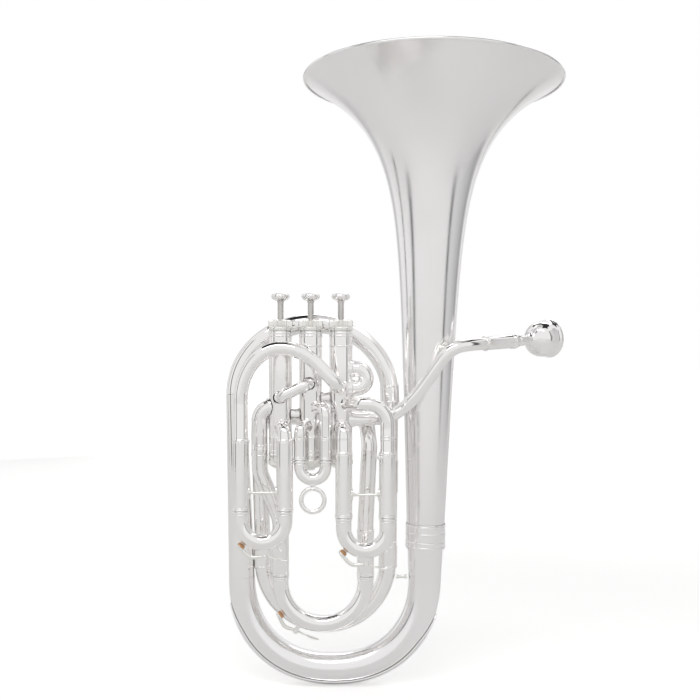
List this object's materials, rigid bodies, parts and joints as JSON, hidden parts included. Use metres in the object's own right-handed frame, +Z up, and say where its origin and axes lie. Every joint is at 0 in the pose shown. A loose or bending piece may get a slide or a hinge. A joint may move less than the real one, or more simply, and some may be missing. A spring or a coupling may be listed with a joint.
{
  "type": "baritone horn",
  "caption": "Silver-plated upright three-valve baritone horn with an upward bell, pull-out slides, water keys and a removable mouthpiece.",
  "frame": {"origin": "lowest point of the guard on the bottom bow, in the plane of the outer loop of tubing", "axes": "+Z up through the bell mouth, +X from the valves towards the bell and mouthpiece, -Y the side that carries the valve slides"},
  "size_m": [0.3161, 0.241, 0.561],
  "materials": {
    "silver_plate": "polished silver plate",
    "stem_metal": "satin grey metal",
    "piston_metal": "fine honed nickel alloy",
    "spring_steel": "drawn spring wire",
    "cork": "matte natural cork"
  },
  "bodies": {
    "root": {"bell": "silver_plate", "bell_brace": "silver_plate", "bell_garland": "silver_plate", "bottom_bow": "silver_plate", "bow_guard": "silver_plate", "compensating_loop_1": "silver_plate", "compensating_loop_2": "silver_plate", "exit_tube": "silver_plate", "inner_bow": "silver_plate", "leadpipe": "silver_plate", "leadpipe_brace": "silver_plate", "left_branch": "silver_plate", "mouthpiece_receiver": "silver_plate", "return_tube": "silver_plate", "right_branch": "silver_plate", "slide_1_brace": "silver_plate", "slide_1_left_sleeve": "silver_plate", "slide_1_right_sleeve": "silver_plate", "slide_2_left_sleeve": "silver_plate", "slide_2_right_sleeve": "silver_plate", "slide_3_brace": "silver_plate", "slide_3_left_sleeve": "silver_plate", "slide_3_right_sleeve": "silver_plate", "top_bow": "silver_plate", "valve_1_bottom_cap": "silver_plate", "valve_1_casing": "silver_plate", "valve_1_spring": "spring_steel", "valve_1_top_cap": "silver_plate", "valve_2_bottom_cap": "silver_plate", "valve_2_casing": "silver_plate", "valve_2_spring": "spring_steel", "valve_2_top_cap": "silver_plate", "valve_3_bottom_cap": "silver_plate", "valve_3_casing": "silver_plate", "valve_3_spring": "spring_steel", "valve_3_top_cap": "silver_plate", "valve_diagonal_link": "silver_plate", "valve_link_1_2": "silver_plate", "valve_link_2_3": "silver_plate"},
    "valve_1": {"valve_1_piston": "piston_metal", "valve_1_stem": "stem_metal", "valve_1_button": "silver_plate"},
    "valve_2": {"valve_2_piston": "piston_metal", "valve_2_stem": "stem_metal", "valve_2_button": "silver_plate"},
    "valve_3": {"valve_3_piston": "piston_metal", "valve_3_stem": "stem_metal", "valve_3_button": "silver_plate"},
    "tuning_slide": {"tuning_slide_crook": "silver_plate"},
    "slide_1": {"slide_1_crook": "silver_plate"},
    "slide_2": {"slide_2_crook": "silver_plate", "slide_2_pull_ring": "silver_plate"},
    "slide_3": {"slide_3_crook": "silver_plate"},
    "water_key_1": {"water_key_1_lever": "silver_plate", "water_key_1_cork": "cork"},
    "water_key_3": {"water_key_3_lever": "silver_plate", "water_key_3_cork": "cork"},
    "tuning_water_key": {"tuning_water_key_lever": "silver_plate", "tuning_water_key_cork": "cork"},
    "mouthpiece": {"mouthpiece": "silver_plate"}
  },
  "joints": [
    {"name": "valve_1_press", "type": "slide", "parent": "root", "child": "valve_1", "axis": [0, 0, -1], "range_m": [0, 0.0155], "stiffness_N_per_m": 150, "springref_m": -0.02, "deforming": ["valve_1_spring"]},
    {"name": "valve_2_press", "type": "slide", "parent": "root", "child": "valve_2", "axis": [0, 0, -1], "range_m": [0, 0.0155], "stiffness_N_per_m": 150, "springref_m": -0.02, "deforming": ["valve_2_spring"]},
    {"name": "valve_3_press", "type": "slide", "parent": "root", "child": "valve_3", "axis": [0, 0, -1], "range_m": [0, 0.0155], "stiffness_N_per_m": 150, "springref_m": -0.02, "deforming": ["valve_3_spring"]},
    {"name": "tuning_slide_pull", "type": "slide", "parent": "root", "child": "tuning_slide", "axis": [0, 0, -1], "range_m": [0, 0.025]},
    {"name": "slide_1_pull", "type": "slide", "parent": "root", "child": "slide_1", "axis": [0, 0, -1], "range_m": [0, 0.03]},
    {"name": "slide_2_pull", "type": "slide", "parent": "root", "child": "slide_2", "axis": [0, 0, -1], "range_m": [0, 0.012]},
    {"name": "slide_3_pull", "type": "slide", "parent": "root", "child": "slide_3", "axis": [0, 0, -1], "range_m": [0, 0.035]},
    {"name": "water_key_1_hinge", "type": "hinge", "parent": "slide_1", "child": "water_key_1", "pos_m": [0.02994, -0.044, 0.12026], "axis": [0, -1, 0], "range_deg": [0, 14], "stiffness_Nm_per_rad": 0.02, "springref_deg": -17.19},
    {"name": "water_key_3_hinge", "type": "hinge", "parent": "slide_3", "child": "water_key_3", "pos_m": [-0.05902, -0.044, 0.12733], "axis": [0, -1, 0], "range_deg": [0, 14], "stiffness_Nm_per_rad": 0.02, "springref_deg": -17.19},
    {"name": "tuning_water_key_hinge", "type": "hinge", "parent": "tuning_slide", "child": "tuning_water_key", "pos_m": [-0.03353, -0.017, 0.05408], "axis": [0, -1, 0], "range_deg": [0, 14], "stiffness_Nm_per_rad": 0.02, "springref_deg": -17.19},
    {"name": "mouthpiece_pull", "type": "slide", "parent": "root", "child": "mouthpiece", "axis": [0.8168, 0.5725, 0.0712], "range_m": [0, 0.027]}
  ]
}
